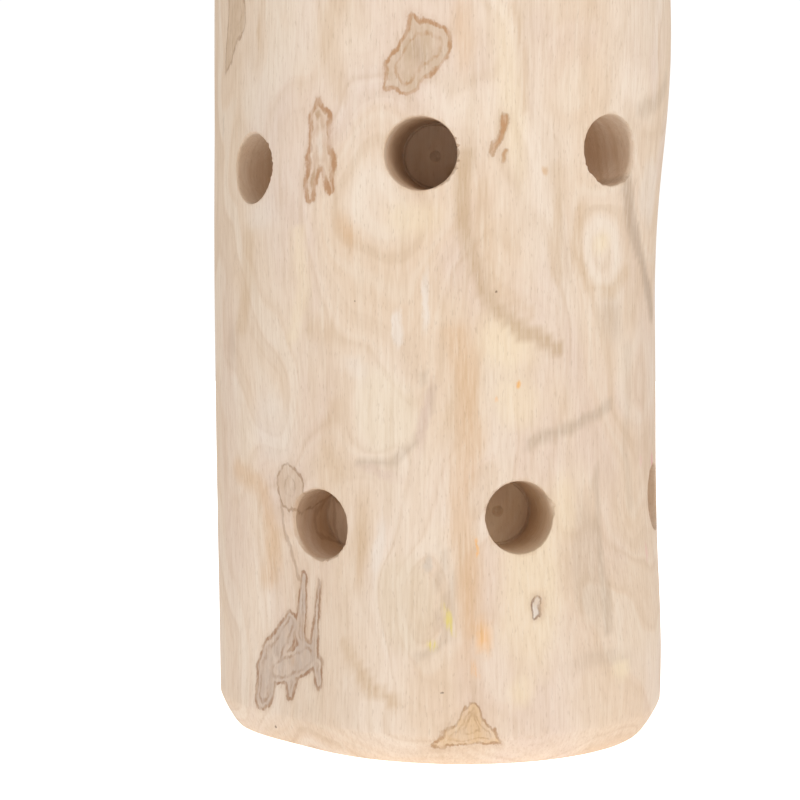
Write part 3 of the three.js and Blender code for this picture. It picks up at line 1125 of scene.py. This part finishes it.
@dataclass(frozen=True)
class PeeledSide:
    """Bare sapwood under the bark: cream with warm and pinkish clouds, growth figure and bark scars, and a
    painted pinkish sheen at the front's two limbs.
    """

    effects: Effects
    marks: Marks
    cream: Colour = srgb(240, 221, 202)
    warm: Colour = srgb(231, 205, 178)
    pink: Colour = srgb(230, 207, 193)
    pale: Colour = srgb(246, 233, 216)

    def side(self, w: Wiring) -> Spot:
        """The unrolled place of a point, with the outlines of the marks there made ragged."""
        unrolled = w.group(self.effects.unroll, Facing=self.marks.facing).outputs
        coarse = w.tinted(w.grainy(w.place((1.0, 1.0, 1.6)), 0.28, 1.0))
        fine = w.tinted(w.grainy(w.place((1.0, 1.0, 1.5)), 1.1, 2.0, 0.6))
        across = w.math("MULTIPLY_ADD", coarse[0], 2.6, w.math("ADD", unrolled["Across"], -1.85))
        height = w.math("MULTIPLY_ADD", coarse[1], 2.6, w.math("ADD", unrolled["Height"], -1.95))
        return w.math("MULTIPLY_ADD", fine[0], 1.1, across), w.math("MULTIPLY_ADD", fine[1], 1.3, height)

    def stroke(self, w: Wiring, place: Spot, line: Line) -> bpy.types.NodeSocket:
        """The distance outside one line."""
        node = w.group(
            self.effects.stroke,
            Across=place[0],
            Height=place[1],
            Start_Across=line.x0,
            Start_Height=line.z0,
            Run_Across=line.x1 - line.x0,
            Run_Height=line.z1 - line.z0 + 1e-4,
            Start_Radius=line.r0,
            End_Radius=line.r1,
        )
        return node.outputs["Distance"]

    def blot(self, w: Wiring, place: Spot, patch: Patch) -> bpy.types.NodeOutputs:
        """The masks of one patch."""
        node = w.group(
            self.effects.blot,
            Across=place[0],
            Height=place[1],
            Middle_Across=patch.x,
            Middle_Height=patch.z,
            Reach_Across=patch.across,
            Reach_Up=patch.up,
            Lean=patch.lean,
            Core=patch.core,
        )
        return node.outputs

    def lay_patches(self, w: Wiring, colour: Feed, place: Spot, streak: Feed) -> Feed:
        """Lays soft patches over a colour."""
        for patch in self.marks.patches:
            if patch.broad:
                continue
            share = w.math("MULTIPLY", self.blot(w, place, patch)["Mask"], patch.share)
            if patch.streaky:
                broken = w.span(streak, 0.42, 0.6, 1 - patch.streaky, 1.0)
                share = w.math("MULTIPLY", share, broken)
            colour = w.blend(share, colour, patch.tint)
        return colour

    def lay_scars(self, w: Wiring, colour: Feed, place: Spot, mottle: Feed) -> Feed:
        """Lays bark scars over a colour.

        Args:
            w: The material's wiring.
            colour: The colour so far.
            place: The ragged unrolled place.
            mottle: A noise from 0 to 1 that breaks up the insides of the scars.

        Returns:
            The colour with the scars on it.
        """
        for scar in self.marks.scars:
            distance: Feed = 0.0
            for index, line in enumerate(scar.lines):
                stroke = self.stroke(w, place, line)
                distance = stroke if index == 0 else w.math("SMOOTH_MIN", distance, stroke, scar.melt)
            drawn = w.group(self.effects.scar, Distance=distance, Line=scar.line, Ring=scar.ring).outputs
            stain_and_depth_shade = w.span(mottle, 0.32, 0.66, scar.fill * 0.45, scar.fill)
            inside = w.math("MULTIPLY", drawn["Inside"], stain_and_depth_shade)
            colour = w.blend(w.math("MULTIPLY", drawn["Halo"], scar.draw * 0.16), colour, scar.edge)
            colour = w.blend(inside, colour, scar.tint)
            colour = w.blend(w.math("MULTIPLY", drawn["Ring"], scar.ringed * scar.draw), colour, scar.edge)
            colour = w.blend(w.math("MULTIPLY", drawn["Edge"], scar.draw * 0.85), colour, scar.edge)
        return colour

    def build(self) -> bpy.types.Material:
        """Builds the finish."""
        material, w, shader = new_material(self.marks.name)
        place = self.side(w)
        fibre = w.group(self.effects.fibre).outputs

        lift = w.node("ShaderNodeAttribute", attribute_name="ring_lift").outputs["Fac"]
        rings = w.group(self.effects.rings, Lift=lift).outputs

        clouds = w.grainy(w.place((1.0, 1.0, 2.2)), 0.034, 2.0, 0.5).outputs["Fac"]
        blush = w.grainy(w.place((1.0, 1.0, 1.8)), 0.05, 2.0, 0.5).outputs["Fac"]
        colour = w.blend(w.span(clouds, 0.38, 0.62, 0.0, 0.75), self.cream, self.warm)
        colour = w.blend(w.span(blush, 0.48, 0.68, 0.0, 0.55), colour, self.pink)
        colour = w.blend(w.span(rings["Broad"], 0.42, 0.62, 0.0, 0.5), colour, self.warm)
        colour = w.blend(w.span(rings["Band"], 0.5, 0.7, 0.0, 0.3), colour, srgb(210, 180, 148))
        colour = w.blend(w.span(rings["Band"], 0.5, 0.3, 0.0, 0.25), colour, self.pale)
        # The figure attribute also carries the painted pinkish sheen at the front's two limbs.
        figure = w.node("ShaderNodeAttribute", attribute_name="figure").outputs
        grain = w.span(fibre["Fine"], 0.3, 0.7, 0.8, 1.0)
        colour = w.blend(w.math("MULTIPLY", figure["Alpha"], grain), colour, (0.0, 0.0, 0.0))
        colour = w.blend(grain, colour, figure["Color"], "ADD")
        colour = w.blend(w.span(fibre["Streak"], 0.52, 0.72, 0.0, 0.2), colour, srgb(205, 176, 142))
        colour = w.blend(w.span(fibre["Streak"], 0.46, 0.28, 0.0, 0.2), colour, self.pale)

        mottle = w.grainy(w.place((1.0, 1.0, 1.8)), 0.42, 3.0, 0.6).outputs["Fac"]
        colour = self.lay_patches(w, colour, place, fibre["Fine"])
        colour = self.lay_scars(w, colour, place, mottle)
        trace: Feed = 9.0
        for line in self.marks.traces:
            trace = w.math("MINIMUM", trace, self.stroke(w, place, line))
        colour = w.blend(w.span(trace, 0.05, 0.6, 0.4, 0.0), colour, EDGE_BROWN)

        colour = w.blend(w.span(fibre["Fine"], 0.42, 0.75, 0.0, 0.22), colour, srgb(196, 164, 130))
        colour = w.blend(w.span(fibre["Fine"], 0.5, 0.25, 0.0, 0.25), colour, self.pale)
        colour = w.blend(w.math("MULTIPLY", fibre["Pores"], 0.2), colour, srgb(170, 136, 104))

        off = w.node("ShaderNodeAttribute", attribute_name="bore_off").outputs["Fac"]
        worn = w.math("MULTIPLY_ADD", w.math("SUBTRACT", mottle, 0.5), 2.4, off)
        colour = w.blend(w.span(worn, 7.6, 8.3, 0.3, 0.0), colour, srgb(206, 172, 134))

        w.feed(shader.inputs["Base Color"], colour)
        w.feed(shader.inputs["Roughness"], w.span(fibre["Fine"], 0.3, 0.7, 0.6, 0.74))
        shader.inputs["Specular IOR Level"].default_value = 0.28
        height = w.math("MULTIPLY_ADD", rings["Band"], 0.35, w.math("MULTIPLY", fibre["Fine"], 0.22))
        height = w.math("MULTIPLY_ADD", fibre["Pores"], -0.16, height)
        bump = w.node("ShaderNodeBump")
        bump.inputs["Strength"].default_value = 0.6
        bump.inputs["Distance"].default_value = 0.25 * MM
        w.feed(bump.inputs["Height"], height)
        w.feed(shader.inputs["Normal"], bump.outputs[0])
        return material


@dataclass(frozen=True)
class BoredWood:
    """The cut wood inside a hole: pale and torn at its mouth, ringed by the bit, and painted browner with
    depth, mostly as painted shade of the hole and partly as the browner cut wood.
    """

    effects: Effects
    mouth: Colour = srgb(240, 220, 190)
    # wall, deep and floor go darker and browner inwards: mostly painted shade of the hole, partly the
    # browner cut wood
    wall: Colour = srgb(216, 178, 132)
    deep: Colour = srgb(160, 108, 62)
    floor: Colour = srgb(150, 92, 44)

    def build(self) -> bpy.types.Material:
        """Builds the finish."""
        material, w, shader = new_material("bored_wood")
        fibre = w.group(self.effects.fibre).outputs
        place = w.node("ShaderNodeAttribute", attribute_name="bore_place").outputs["Vector"]
        bark = w.node("ShaderNodeAttribute", attribute_name="bark_depth").outputs["Fac"]
        x, y, depth = w.parted(place)
        off = w.math("SQRT", w.math("MULTIPLY_ADD", x, x, w.math("MULTIPLY", y, y)))
        blotch = w.grainy(w.place((1.0, 1.0, 1.6)), 0.3, 3.0, 0.6).outputs["Fac"]
        # Painted shade of the hole: the wood goes browner with depth and darkest on the floor, partly also
        # the browner cut wood; blotch noise makes the change uneven.
        stain_and_depth_shade = w.math("MULTIPLY_ADD", w.math("SUBTRACT", blotch, 0.5), 7.0, depth)

        colour = w.blend(w.span(stain_and_depth_shade, 0.5, 8.0), self.mouth, self.wall)
        colour = w.blend(w.span(stain_and_depth_shade, 7.0, 17.0), colour, self.deep)
        on_floor = w.span(off, 7.2, 7.42, 1.0, 0.0)
        colour = w.blend(on_floor, colour, self.floor)
        colour = w.blend(w.span(fibre["Streak"], 0.45, 0.7, 0.0, 0.5), colour, srgb(140, 92, 58))
        colour = w.blend(w.span(fibre["Fine"], 0.45, 0.75, 0.0, 0.4), colour, srgb(150, 108, 72))
        colour = w.blend(w.span(fibre["Fine"], 0.48, 0.25, 0.0, 0.25), colour, srgb(232, 204, 168))

        waver = w.math("MULTIPLY", w.math("SUBTRACT", blotch, 0.5), 0.8)
        turn = w.math("MULTIPLY", w.math("ADD", depth, waver), 5.6)
        tool = w.math("SINE", turn)
        colour = w.blend(w.span(tool, 0.2, 1.0, 0.0, 0.2), colour, srgb(150, 112, 76))
        sweep = w.math("SINE", w.math("MULTIPLY", w.math("ADD", off, waver), 5.0))
        # Painted shade in the groove round the floor's edge and in the spur's pit.
        groove_shade = w.math("MULTIPLY", w.span(off, 6.6, 6.9), w.span(off, 7.3, 7.45, 1.0, 0.0))
        pit = w.span(off, 0.4, 1.4, 1.0, 0.0)
        dark = w.math("MAXIMUM", w.math("MULTIPLY", groove_shade, 0.7), w.math("MULTIPLY", pit, 0.6))
        colour = w.blend(dark, colour, srgb(84, 54, 32))
        torn = w.math("MULTIPLY_ADD", w.math("SUBTRACT", fibre["Fine"], 0.5), 1.2, bark)
        colour = w.blend(w.span(torn, 0.1, 1.0, 0.6, 0.0), colour, srgb(244, 228, 204))

        w.feed(shader.inputs["Base Color"], colour)
        w.feed(shader.inputs["Roughness"], w.span(fibre["Fine"], 0.3, 0.7, 0.68, 0.8))
        shader.inputs["Specular IOR Level"].default_value = 0.25
        walls = w.math("MULTIPLY", tool, w.math("SUBTRACT", 1.0, on_floor))
        floors = w.math("MULTIPLY", sweep, on_floor)
        cut = w.math("ADD", walls, floors)
        height = w.math("MULTIPLY_ADD", cut, 0.3, w.math("MULTIPLY", fibre["Fine"], 1.4))
        bump = w.node("ShaderNodeBump")
        bump.inputs["Strength"].default_value = 0.7
        bump.inputs["Distance"].default_value = 0.18 * MM
        w.feed(bump.inputs["Height"], height)
        w.feed(shader.inputs["Normal"], bump.outputs[0])
        return material


@dataclass(frozen=True)
class SawnEnd:
    """Sawn and sanded end grain: growth rings round a brown heart, rays, pores and drying checks."""

    effects: Effects
    sap: Colour = srgb(234, 212, 182)
    heart: Colour = srgb(204, 168, 126)
    late: Colour = srgb(196, 158, 118)

    def build(self) -> bpy.types.Material:
        """Builds the finish."""
        material, w, shader = new_material("sawn_end")
        fibre = w.group(self.effects.fibre).outputs
        rings = w.group(self.effects.rings, Lift=0.0).outputs
        x, y, _ = w.parted(w.place((1.0, 1.0, 1.0)))
        off_x, off_y = w.math("ADD", x, -3.0), w.math("ADD", y, 2.0)
        away = w.math("SQRT", w.math("MULTIPLY_ADD", off_x, off_x, w.math("MULTIPLY", off_y, off_y)))
        angle = w.math("ARCTAN2", off_y, off_x)
        turn = w.joined(w.math("COSINE", angle), w.math("SINE", angle))
        rays = w.grainy(turn, 51.0, 2.0, 0.6).outputs["Fac"]
        blotch = w.grainy(w.place((1.0, 1.0, 1.0)), 0.06, 3.0, 0.55).outputs["Fac"]

        worn = w.math("MULTIPLY_ADD", w.math("SUBTRACT", blotch, 0.5), 16.0, away)
        colour = w.blend(w.span(worn, 8.0, 26.0, 0.8, 0.0), self.sap, self.heart)
        colour = w.blend(w.span(rings["Band"], 0.48, 0.7, 0.0, 0.6), colour, self.late)
        colour = w.blend(w.span(rings["Broad"], 0.5, 0.7, 0.0, 0.35), colour, self.heart)
        colour = w.blend(w.span(rays, 0.52, 0.7, 0.0, 0.3), colour, srgb(244, 228, 202))
        colour = w.blend(w.span(fibre["Fine"], 0.5, 0.75, 0.0, 0.25), colour, srgb(180, 142, 104))
        colour = w.blend(w.math("MULTIPLY", fibre["Pores"], 0.45), colour, srgb(140, 102, 70))

        crack: Feed = 9.0
        wander = w.tinted(w.grainy(w.place((1.0, 1.0, 1.0)), 0.3, 2.0))
        wavy_x = w.math("MULTIPLY_ADD", wander[0], 1.4, w.math("ADD", off_x, -0.7))
        wavy_y = w.math("MULTIPLY_ADD", wander[1], 1.4, w.math("ADD", off_y, -0.7))
        for turned, start, end in ((25, 2, 27), (152, 3, 19), (268, 2, 33), (205, 14, 30)):
            a = math.radians(turned)
            first = Vector((math.cos(a), math.sin(a), 0)) * start
            last = Vector((math.cos(a + 0.05), math.sin(a + 0.05), 0)) * end
            distance = w.group(
                self.effects.stroke,
                Across=wavy_x,
                Height=wavy_y,
                Start_Across=first.x,
                Start_Height=first.y,
                Run_Across=last.x - first.x,
                Run_Height=last.y - first.y,
                Start_Radius=0.28,
                End_Radius=0.02,
            ).outputs["Distance"]
            crack = w.math("MINIMUM", crack, distance)
        check = w.span(crack, -0.05, 0.14, 1.0, 0.0)
        pith = w.span(away, 0.7, 1.5, 1.0, 0.0)
        dark = w.math("MAXIMUM", check, pith)
        colour = w.blend(w.math("MULTIPLY", dark, 0.85), colour, srgb(96, 66, 44))

        saw = w.math("SINE", w.math("MULTIPLY", w.math("MULTIPLY_ADD", x, 0.35, y), 3.4))
        w.feed(shader.inputs["Base Color"], colour)
        w.feed(shader.inputs["Roughness"], w.span(fibre["Fine"], 0.3, 0.7, 0.62, 0.78))
        shader.inputs["Specular IOR Level"].default_value = 0.25
        height = w.math("MULTIPLY_ADD", saw, 0.08, w.math("MULTIPLY", rings["Band"], 0.5))
        height = w.math("MULTIPLY_ADD", dark, -2.0, height)
        bump = w.node("ShaderNodeBump")
        bump.inputs["Strength"].default_value = 0.5
        bump.inputs["Distance"].default_value = 0.25 * MM
        w.feed(bump.inputs["Height"], height)
        w.feed(shader.inputs["Normal"], bump.outputs[0])
        return material


@dataclass
class PeeledLog:
    """The whole log: the grown trunk with every hole bored into it, and its three finishes."""

    trunk: Trunk
    holes: tuple[Hole, ...] = HOLES
    node: str = "drilled_log"
    slot: str = "peeled_wood"
    chip_seed: int = 7
    sharp_angle: float = 40.0  # edges past this stay sharp
    past_floor: float = 3.0  # how far a bore's place still counts beyond its floor
    past_mouth: float = 6.0  # and outside its mouth

    def frayed(self, hole: Hole, draw: random.Random) -> Hole:
        """The same hole with a torn stretch or two at its mouth, drawn where none is given."""
        if hole.chips:
            return hole
        chips = []
        for _ in range(draw.choice((1, 2, 2))):
            reach = draw.uniform(0.35, 0.85)
            turn, spread, ragged = draw.uniform(0, 360), draw.uniform(20, 55), draw.uniform(0.3, 0.95)
            chips.append(Chip(turn, spread, reach, reach * 1.7, ragged))
        return Hole(hole.angle, hole.height, hole.swing, hole.tilt, hole.depth, tuple(chips))

    def bored(self) -> tuple[bpy.types.Object, list[Bore]]:
        """Takes every bore out of the trunk with one Boolean.

        Returns:
            The log, in millimetres still, and the bores that were taken out.
        """
        blank_bm = self.trunk.mesh()
        blank = new_object("peeled_log", blank_bm)
        draw = random.Random(self.chip_seed)
        bores = [Bore(self.trunk, self.frayed(hole, draw)) for hole in self.holes]
        gathered = bmesh.new()
        for bore in bores:
            one = bpy.data.meshes.new("bore")
            made = bore.mesh()
            made.to_mesh(one)
            made.free()
            gathered.from_mesh(one)
            bpy.data.meshes.remove(one)
        cutter = new_object("bores", gathered)
        for item in (blank, cutter):
            for slot in Slot:
                item.data.materials.append(bpy.data.materials.new(slot.name.lower()))
        cut = blank.modifiers.new("bores", "BOOLEAN")
        cut.operation = "DIFFERENCE"
        cut.solver = "MANIFOLD"
        cut.object = cutter
        bpy.context.view_layer.update()
        made = bpy.data.meshes.new_from_object(blank.evaluated_get(bpy.context.evaluated_depsgraph_get()))
        blank.modifiers.clear()
        blank.data = made
        bpy.data.objects.remove(cutter)
        return blank, bores

    def note_places(self, mesh: bpy.types.Mesh, points: np.ndarray, bores: list[Bore]) -> None:
        """Writes each point's place in its nearest bore, and its depth under the bark.

        Args:
            mesh: The log's mesh, which gets the attributes that the finishes read.
            points: The mesh's points, in millimetres.
            bores: The bores that were taken out.
        """
        nearest = np.full(len(points), np.inf)
        places = np.zeros((len(points), 3))
        for bore in bores:
            frame = bore.placement().inverted()
            local = points @ np.array(frame.to_3x3()).T + np.array(frame.translation)
            below = np.maximum(0, -local[:, 2] - bore.hole.depth - self.past_floor)
            outside = np.maximum(0, local[:, 2] - self.past_mouth)
            away = np.hypot(local[:, 0], local[:, 1]) + (below + outside)
            closer = away < nearest
            nearest[closer] = away[closer]
            places[closer] = local[closer] * (1, 1, -1)
        place = mesh.attributes.new("bore_place", "FLOAT_VECTOR", "POINT")
        place.data.foreach_set("vector", places.ravel())
        off = mesh.attributes.new("bore_off", "FLOAT", "POINT")
        off.data.foreach_set("value", nearest)
        bark = mesh.attributes.new("bark_depth", "FLOAT", "POINT")
        bark.data.foreach_set("value", np.maximum(0, self.trunk.under_bark(points)))

    def build(self) -> bpy.types.Object:
        """Makes the log, dresses it and puts it in the place of its CAD node.

        Returns:
            The finished piece.
        """
        piece, bores = self.bored()
        mesh = piece.data
        points = np.empty(len(mesh.vertices) * 3)
        mesh.vertices.foreach_get("co", points)
        points = points.reshape(-1, 3)
        self.note_places(mesh, points, bores)
        mesh.transform(Matrix.Scale(MM, 4))
        mesh.set_sharp_from_angle(angle=math.radians(self.sharp_angle))
        effects = Effects()
        front = Marks("peeled_side_front", 1.0, FRONT_SCARS, FRONT_PATCHES, TRACES, FIGURE, MOUNDS)
        away = BackMarks().draw()
        figure = FigureAndLimbSheen(points)
        figure.add(away)
        figure.add(front)
        figure.keep(mesh)
        finishes = {
            Slot.PEELED: PeeledSide(effects, front),
            Slot.BORED: BoredWood(effects),
            Slot.SAWN: SawnEnd(effects),
            Slot.AWAY: PeeledSide(effects, away),
        }
        for face in mesh.polygons:
            if face.material_index == Slot.PEELED.value and face.center.y > 0:
                face.material_index = Slot.AWAY.value
        mesh.materials.clear()
        for slot in Slot:
            mesh.materials.append(finishes[slot].build())
        mesh.update()
        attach(piece, "root")
        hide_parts(self.node)
        return piece


def new_object(name: str, bm: bmesh.types.BMesh) -> bpy.types.Object:
    """Turns a bmesh into an object of the scene and frees it."""
    mesh = bpy.data.meshes.new(name)
    bm.to_mesh(mesh)
    bm.free()
    made = bpy.data.objects.new(name, mesh)
    bpy.context.scene.collection.objects.link(made)
    return made


@dataclass
class Studio:
    """The floor, the soft lights and the camera."""

    floor_size: float = 6.0
    lamps_aim: tuple[float, float, float] = (0.0, 0.0, 0.11)
    sensor_width: float = 36.0
    lens: float = 78.75
    camera_at: tuple[float, float, float] = (0.0, -0.413, 0.0899)
    camera_pitch: float = 87.873
    camera_pan: float = 1.244

    def floor(self) -> bpy.types.Object:
        """A plain pale floor."""
        bm = bmesh.new()
        bmesh.ops.create_grid(bm, x_segments=2, y_segments=2, size=self.floor_size / 2)
        floor = new_object("floor", bm)
        material, w, shader = new_material("studio_floor")
        shader.inputs["Base Color"].default_value = (0.92, 0.92, 0.92, 1)
        shader.inputs["Roughness"].default_value = 0.9
        shader.inputs["Specular IOR Level"].default_value = 0.0
        shader.inputs["Emission Color"].default_value = (1, 1, 1, 1)
        seen = w.node("ShaderNodeLightPath").outputs["Is Camera Ray"]
        w.feed(shader.inputs["Emission Strength"], w.math("MULTIPLY_ADD", seen, 0.6, 0.45))
        floor.data.materials.append(material)
        return floor

    def lamp(
        self, name: str, at: tuple[float, float, float], size: float, power: float, tint: Colour
    ) -> None:
        """A square soft lamp that looks at the middle of the log."""
        light = bpy.data.lights.new(name, "AREA")
        light.shape = "SQUARE"
        light.size = size
        light.energy = power
        light.color = tint
        lamp = bpy.data.objects.new(name, light)
        lamp.location = at
        lamp.rotation_mode = "QUATERNION"
        lamp.rotation_quaternion = (Vector(self.lamps_aim) - Vector(at)).to_track_quat("-Z", "Y")
        bpy.context.scene.collection.objects.link(lamp)

    def sky(self) -> None:
        """A white surround, seen as plain white and dimmer as a light."""
        world = bpy.data.worlds.new("surround")
        world.use_nodes = True
        w = Wiring(world.node_tree)
        world.node_tree.nodes.clear()
        path = w.node("ShaderNodeLightPath")
        back = w.node("ShaderNodeBackground")
        w.feed(back.inputs["Color"], (1.0, 1.0, 1.0))
        w.feed(back.inputs["Strength"], w.math("MULTIPLY_ADD", path.outputs["Is Camera Ray"], 0.65, 0.4))
        out = w.node("ShaderNodeOutputWorld")
        w.tree.links.new(back.outputs[0], out.inputs["Surface"])
        bpy.context.scene.world = world

    def camera(self) -> bpy.types.Object:
        """The camera at the photograph's angle."""
        data = bpy.data.cameras.new("camera")
        data.sensor_width = self.sensor_width
        data.lens = self.lens
        data.clip_start = 0.01
        camera = bpy.data.objects.new("camera", data)
        camera.location = self.camera_at
        camera.rotation_euler = (math.radians(self.camera_pitch), 0, math.radians(self.camera_pan))
        bpy.context.scene.collection.objects.link(camera)
        bpy.context.scene.camera = camera
        return camera

    def build(self) -> None:
        """Sets the whole studio up."""
        self.floor()
        self.lamp("key", (0.75, -1.1, 0.75), 1.0, 7.2, (1.0, 0.988, 0.975))
        self.lamp("fill", (-1.0, -0.9, 0.45), 1.1, 3.6, (0.985, 0.99, 1.0))
        self.lamp("back", (0.1, 1.1, 0.9), 1.0, 3.0, (1.0, 1.0, 1.0))
        self.sky()
        self.camera()
        bpy.context.scene.view_settings.view_transform = "Standard"


def main() -> None:
    """Loads the frame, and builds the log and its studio."""
    logging.basicConfig(level=logging.INFO, format="%(message)s")
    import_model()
    piece = PeeledLog(Trunk()).build()
    log.info("%s: %d faces, %d points", piece.name, len(piece.data.polygons), len(piece.data.vertices))
    Studio().build()


if __name__ == "__main__":
    main()
